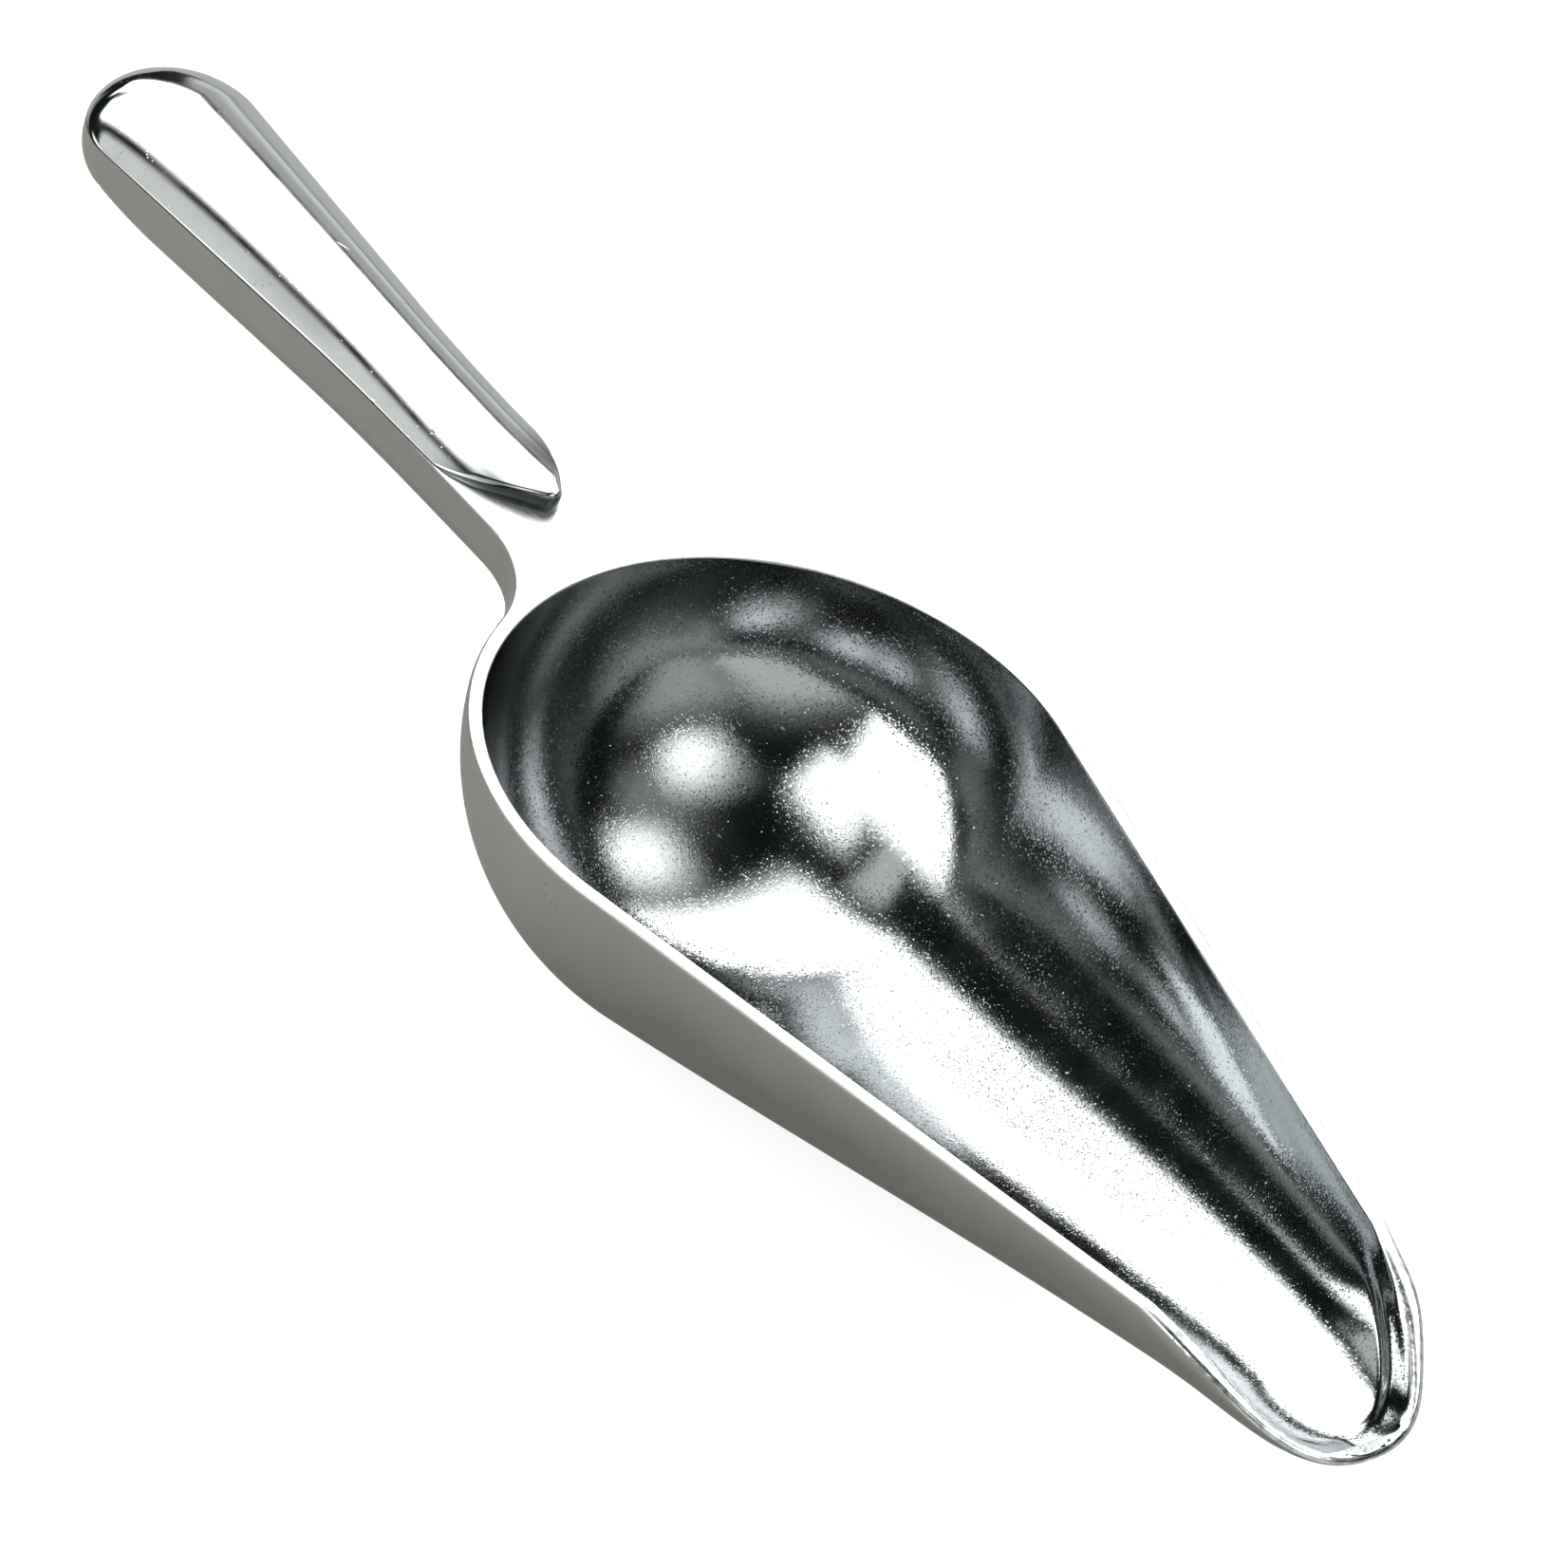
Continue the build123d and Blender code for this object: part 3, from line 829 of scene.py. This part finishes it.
def ground_top():
    """Ground flat on a belt, rubbed smooth, and faceted by hand along the lip."""
    metal = Metal("ground_top")
    ahead = metal.parts(metal.place)[0]
    lip = metal.ramp(ahead, (LIP_START[0] - 2) * MM, (LIP_START[0] + 6) * MM)
    belt = metal.noise(scale=1900.0, place=metal.laid(metal.place, turn=0.16, stretch=(30, 1, 1)))
    grain = metal.noise(scale=2200.0)
    facets = metal.maths("MULTIPLY", metal.noise(scale=420.0), lip)
    pores = metal.patchy(metal.spots(scale=900.0, size=0.2), scale=70.0, start=0.56, end=0.66)
    scratch = metal.scratches(turn=0.9, scale=380.0, slimness=24.0, size=0.07)
    worn = metal.maths("ADD", pores, scratch)
    normal = metal.relief((facets, 0.10), (belt, 0.0035), (grain, 0.003), (worn, -0.02))
    rough = metal.ramp(belt, start=0.3, end=0.7, low=0.36, high=0.46)
    rough = metal.raised(rough, lip, -0.20)
    bright, tarnished, in_pores = (0.93, 0.94, 0.94, 1), (0.60, 0.65, 0.70, 1), (0.3, 0.3, 0.3, 1)
    mottled = metal.ramp(metal.noise(scale=700.0, detail=4.0), start=0.45, end=0.6)
    colour = metal.mix(metal.maths("MULTIPLY", mottled, lip), bright, tarnished)
    colour = metal.mix(pores, colour, in_pores)
    return metal.finish(colour, rough, normal)


def satin_outside():
    """The outside as it left the mould, brushed to a satin."""
    metal = Metal("satin_outside")
    cast_skin = metal.noise(scale=520.0, detail=4.0)
    grain = metal.noise(scale=2400.0)
    brush_marks = metal.laid(metal.along, turn=0.0, stretch=(30, 0.5, 1))
    brushed = metal.noise(scale=1.0, detail=3.0, place=brush_marks)
    pores = metal.patchy(metal.spots(scale=700.0, size=0.18), scale=80.0, start=0.55, end=0.68)
    scratch = metal.scratches(turn=0.2, scale=300.0, slimness=22.0, size=0.06)
    worn = metal.maths("ADD", pores, scratch)
    normal = metal.relief((cast_skin, 0.025), (brushed, 0.006), (grain, 0.006), (worn, -0.03))
    rough = metal.ramp(metal.noise(scale=130.0, detail=3.0), start=0.3, end=0.7, low=0.36, high=0.48)
    rough = metal.raised(rough, brushed, 0.06)
    darker, lighter, in_pores = (0.39, 0.395, 0.375, 1), (0.47, 0.475, 0.455, 1), (0.2, 0.2, 0.19, 1)
    colour = metal.mix(metal.noise(scale=60.0, detail=3.0), darker, lighter)
    colour = metal.mix(pores, colour, in_pores)
    return metal.finish(colour, rough, normal)


def polished_crown():
    """Buffed bright, with fine scratches from use and nicks along the parting line, and painted shade
    low along the parting line and under the foot.
    """
    metal = Metal("polished_crown")
    soft = metal.noise(scale=110.0)
    grain = metal.noise(scale=2400.0)
    buffed = metal.noise(scale=1500.0, place=metal.laid(metal.place, turn=0.05, stretch=(24, 1, 1)))
    scratch = metal.maths(
        "MAXIMUM",
        metal.scratches(turn=0.5, scale=420.0, slimness=22.0, size=0.09),
        metal.scratches(turn=2.3, scale=380.0, slimness=18.0, size=0.08),
    )
    nicks = metal.marks(PARTING_NICKS, PARTING_NICK_RADIUS)
    specks = metal.patchy(metal.spots(scale=500.0, size=0.16), scale=90.0, start=0.54, end=0.62)
    worn = metal.maths("ADD", scratch, specks)
    normal = metal.relief(
        (soft, 0.02), (buffed, 0.0012), (grain, 0.0018), (worn, -0.012), (nicks, -0.05)
    )
    normal = metal.flecks(normal, scale=2400.0, size=0.25, share=0.12, tilt=0.35)
    rough = metal.ramp(metal.noise(scale=170.0, detail=3.0), start=0.3, end=0.7, low=0.07, high=0.12)
    rough = metal.raised(rough, scratch, 0.2)
    darker, lighter, in_nicks = (0.59, 0.605, 0.61, 1), (0.65, 0.665, 0.67, 1), (0.45, 0.46, 0.47, 1)
    # The first colour is a painted dark reflection under the foot's rounding, the second is painted
    # shade along the parting line
    painted_dark_under_foot, painted_shade_at_parting = (0.07, 0.08, 0.08, 1), (0.17, 0.18, 0.17, 1)
    colour = metal.mix(metal.noise(scale=300.0), darker, lighter)
    colour = metal.mix(metal.maths("MAXIMUM", nicks, specks), colour, in_nicks)
    ahead, _, up = metal.parts(metal.place)
    # Painted dark reflection: the low part of the crown is darkened towards its foot
    at_foot = metal.ramp(ahead, (CROWN_SHOULDER + 5) * MM, (CROWN_FOOT - 5) * MM)
    low = metal.ramp(up, FOOT_PAINTED_DARK_FROM * MM, FOOT_PAINTED_DARK_FULL * MM)
    colour = metal.mix(metal.maths("MULTIPLY", at_foot, low), colour, painted_dark_under_foot)
    # Painted shade: the crown's lowest fraction of a millimetre is darkened along the parting line
    painted_parting_shade = metal.ramp(up, PARTING_PAINTED_SHADE_FROM * MM, PARTING_PAINTED_SHADE_FULL * MM)
    colour = metal.mix(painted_parting_shade, colour, painted_shade_at_parting)
    return metal.finish(colour, rough, normal)


# In the order of BRIGHT_INSIDE, GROUND_TOP and SATIN_OUTSIDE
for finish in (bright_inside(), ground_top(), satin_outside()):
    bowl.data.materials.append(finish)
    handle_base.data.materials.append(finish)
crown.data.materials.append(polished_crown())

# ---------------------------------------------------------------- ride the frame
for made, node, slot in (
    (bowl, "bowl", "cast_aluminium"),
    (handle_base, "handle_base", "satin_aluminium"),
    (crown, "handle_crown", "polished_aluminium"),
):
    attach(made, "root")
    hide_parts(node)

# ---------------------------------------------------------------- camera, lengths in metres
CAMERA_AZIMUTH = math.radians(41.40)
CAMERA_ELEVATION = math.radians(39.135)
CAMERA_ROLL = math.radians(17.16)
CAMERA_DISTANCE = 7.8
SENSOR_WIDTH = 36.0  # in millimetres, as the lens is
FRAME_WIDTH_AT_BOWL = 0.19646
AIM_RIGHT = 0.000286  # the bowl's centre lies this far right of and above the middle of the frame
AIM_UP = 0.00236

sight = Vector((
    -math.sin(CAMERA_AZIMUTH) * math.cos(CAMERA_ELEVATION),
    math.cos(CAMERA_AZIMUTH) * math.cos(CAMERA_ELEVATION),
    -math.sin(CAMERA_ELEVATION),
))
level_right = Vector((math.cos(CAMERA_AZIMUTH), math.sin(CAMERA_AZIMUTH), 0))
level_up = level_right.cross(sight)
right = math.cos(CAMERA_ROLL) * level_right + math.sin(CAMERA_ROLL) * level_up
up = math.cos(CAMERA_ROLL) * level_up - math.sin(CAMERA_ROLL) * level_right

bowl_centre = Vector((BOWL_X * MM, 0, 0))
camera_data = bpy.data.cameras.new("camera")
camera_data.sensor_width = SENSOR_WIDTH
camera_data.lens = SENSOR_WIDTH * CAMERA_DISTANCE / FRAME_WIDTH_AT_BOWL
camera = bpy.data.objects.new("camera", camera_data)
bpy.context.scene.collection.objects.link(camera)
turned = Matrix((right, up, -sight)).transposed().to_4x4()
place = bowl_centre - AIM_RIGHT * right - AIM_UP * up - CAMERA_DISTANCE * sight
camera.matrix_world = Matrix.Translation(place) @ turned
bpy.context.scene.camera = camera

# ---------------------------------------------------------------- floor and light
FLOOR_SIZE = 6.0
FLOOR_SEEN = (0.36, 0.36, 0.36, 1)  # seen directly the floor also glows, so that it is plain and pale
FLOOR_GLOW = 0.86
FLOOR_REFLECTED = (0.44, 0.45, 0.42, 1)
FLOOR_ROUGHNESS = 0.9

floor_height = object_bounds()[0].z
bpy.ops.mesh.primitive_plane_add(size=FLOOR_SIZE, location=(BOWL_X * MM, 0, floor_height))
floor = bpy.context.object
floor.name = "floor"
floor_material = bpy.data.materials.new("floor")
floor.data.materials.append(floor_material)
floor_material.use_nodes = True
paint = Nodes(floor_material.node_tree)
to_camera = paint.put("ShaderNodeLightPath")
floor_colour = paint.mix(to_camera, FLOOR_REFLECTED, FLOOR_SEEN)
floor_glow = paint.maths("MULTIPLY", to_camera, FLOOR_GLOW)
surface = floor_material.node_tree.nodes["Principled BSDF"].inputs
surface["Roughness"].default_value = FLOOR_ROUGHNESS
surface["Specular IOR Level"].default_value = 0.0
surface["Emission Color"].default_value = (1, 1, 1, 1)
paint.tree.links.new(floor_colour, surface["Base Color"])
paint.tree.links.new(floor_glow, surface["Emission Strength"])

# The studio: soft panels on a dark ceiling. A panel's place, half size, soft edge and lean are on a
# plane one unit above the object: x, y, half x, half y, soft x, soft y, lean, brightness.
PANELS = {
    "rear_left": (-0.88, 0.83, 0.66, 0.94, 0.16, 0.09, 0.0, 4.0),
    "rear_far": (-2.00, 1.25, 0.75, 0.55, 0.20, 0.15, 0.0, 4.0),
    "front_left": (-1.00, -1.93, 0.95, 1.15, 0.14, 0.17, 0.3, 3.0),
    "front_middle": (-0.12, -0.77, 0.30, 0.32, 0.14, 0.14, 0.3, 3.0),
    "flank": (-0.68, -0.57, 0.20, 0.29, 0.10, 0.06, 0.0, 0.90),
    "rear_right": (0.20, 0.80, 0.20, 0.33, 0.20, 0.26, 0.0, 2.9),
    "ahead": (0.88, 0.08, 0.28, 0.26, 0.28, 0.26, 0.0, 2.9),
    "front_right": (3.20, -2.00, 1.90, 1.20, 0.70, 0.60, 0.0, 0.9),
    "right": (3.50, 0.00, 1.90, 0.80, 0.60, 0.50, 0.0, 0.6),
    "between": (0.62, 0.55, 0.35, 0.35, 0.30, 0.30, 0.0, 0.35),
    "behind": (3.00, 8.20, 3.00, 6.00, 0.30, 0.30, 0.9, 0.5),
}
DARK_CEILING = (0.006, 0.009, 0.009, 1)
HORIZON = (0.42, 0.43, 0.43, 1)
HORIZON_START, HORIZON_FULL = 0.24, 0.06  # height of a direction where the horizon fades in
LOWEST = 0.02  # directions lower than this count as this low

# A black card stands low behind the butt
CARD_TOWARDS = (-0.848, 0.530)
CARD_EDGE, CARD_FULL = 0.93, 0.97
CARD_LEVEL = 0.03

world = bpy.data.worlds.new("studio")
bpy.context.scene.world = world
world.use_nodes = True
sky = Nodes(world.node_tree)
side_x, side_y, height = sky.parts(sky.put("ShaderNodeTexCoord"))
above = sky.maths("MAXIMUM", height, LOWEST)
ceiling_x = sky.maths("DIVIDE", side_x, above)
ceiling_y = sky.maths("DIVIDE", side_y, above)
light = 0.0
for x, y, half_x, half_y, soft_x, soft_y, lean, brightness in PANELS.values():
    leaned = sky.maths("ADD", ceiling_x, sky.maths("MULTIPLY", ceiling_y, lean))
    off_x = sky.maths("ABSOLUTE", sky.maths("SUBTRACT", leaned, x))
    off_y = sky.maths("ABSOLUTE", sky.maths("SUBTRACT", ceiling_y, y))
    across = sky.ramp(off_x, half_x + soft_x, half_x - soft_x)
    along = sky.ramp(off_y, half_y + soft_y, half_y - soft_y, high=brightness)
    light = sky.maths("MAXIMUM", light, sky.maths("MULTIPLY", across, along))
low_band = sky.ramp(height, HORIZON_START, HORIZON_FULL)
facing_x = sky.maths("MULTIPLY", side_x, CARD_TOWARDS[0])
facing = sky.maths("ADD", facing_x, sky.maths("MULTIPLY", side_y, CARD_TOWARDS[1]))
card = sky.ramp(facing, CARD_EDGE, CARD_FULL, low=1.0, high=CARD_LEVEL)
backdrop = sky.mix(sky.maths("MULTIPLY", low_band, card), DARK_CEILING, HORIZON)
lit = sky.put("ShaderNodeCombineColor", {0: light, 1: light, 2: light})
adding = {"data_type": "RGBA", "blend_type": "ADD"}
both = sky.put("ShaderNodeMix", {0: 1.0, 6: backdrop, 7: lit}, output=2, **adding)
seen = sky.put("ShaderNodeLightPath")  # straight from the camera, the backdrop is plain white
plain = sky.mix(seen, both, (1, 1, 1, 1))
world.node_tree.links.new(plain, world.node_tree.nodes["Background"].inputs["Color"])
world.cycles.sampling_method = "MANUAL"
world.cycles.sample_map_resolution = 512
bpy.context.scene.view_settings.view_transform = "Standard"
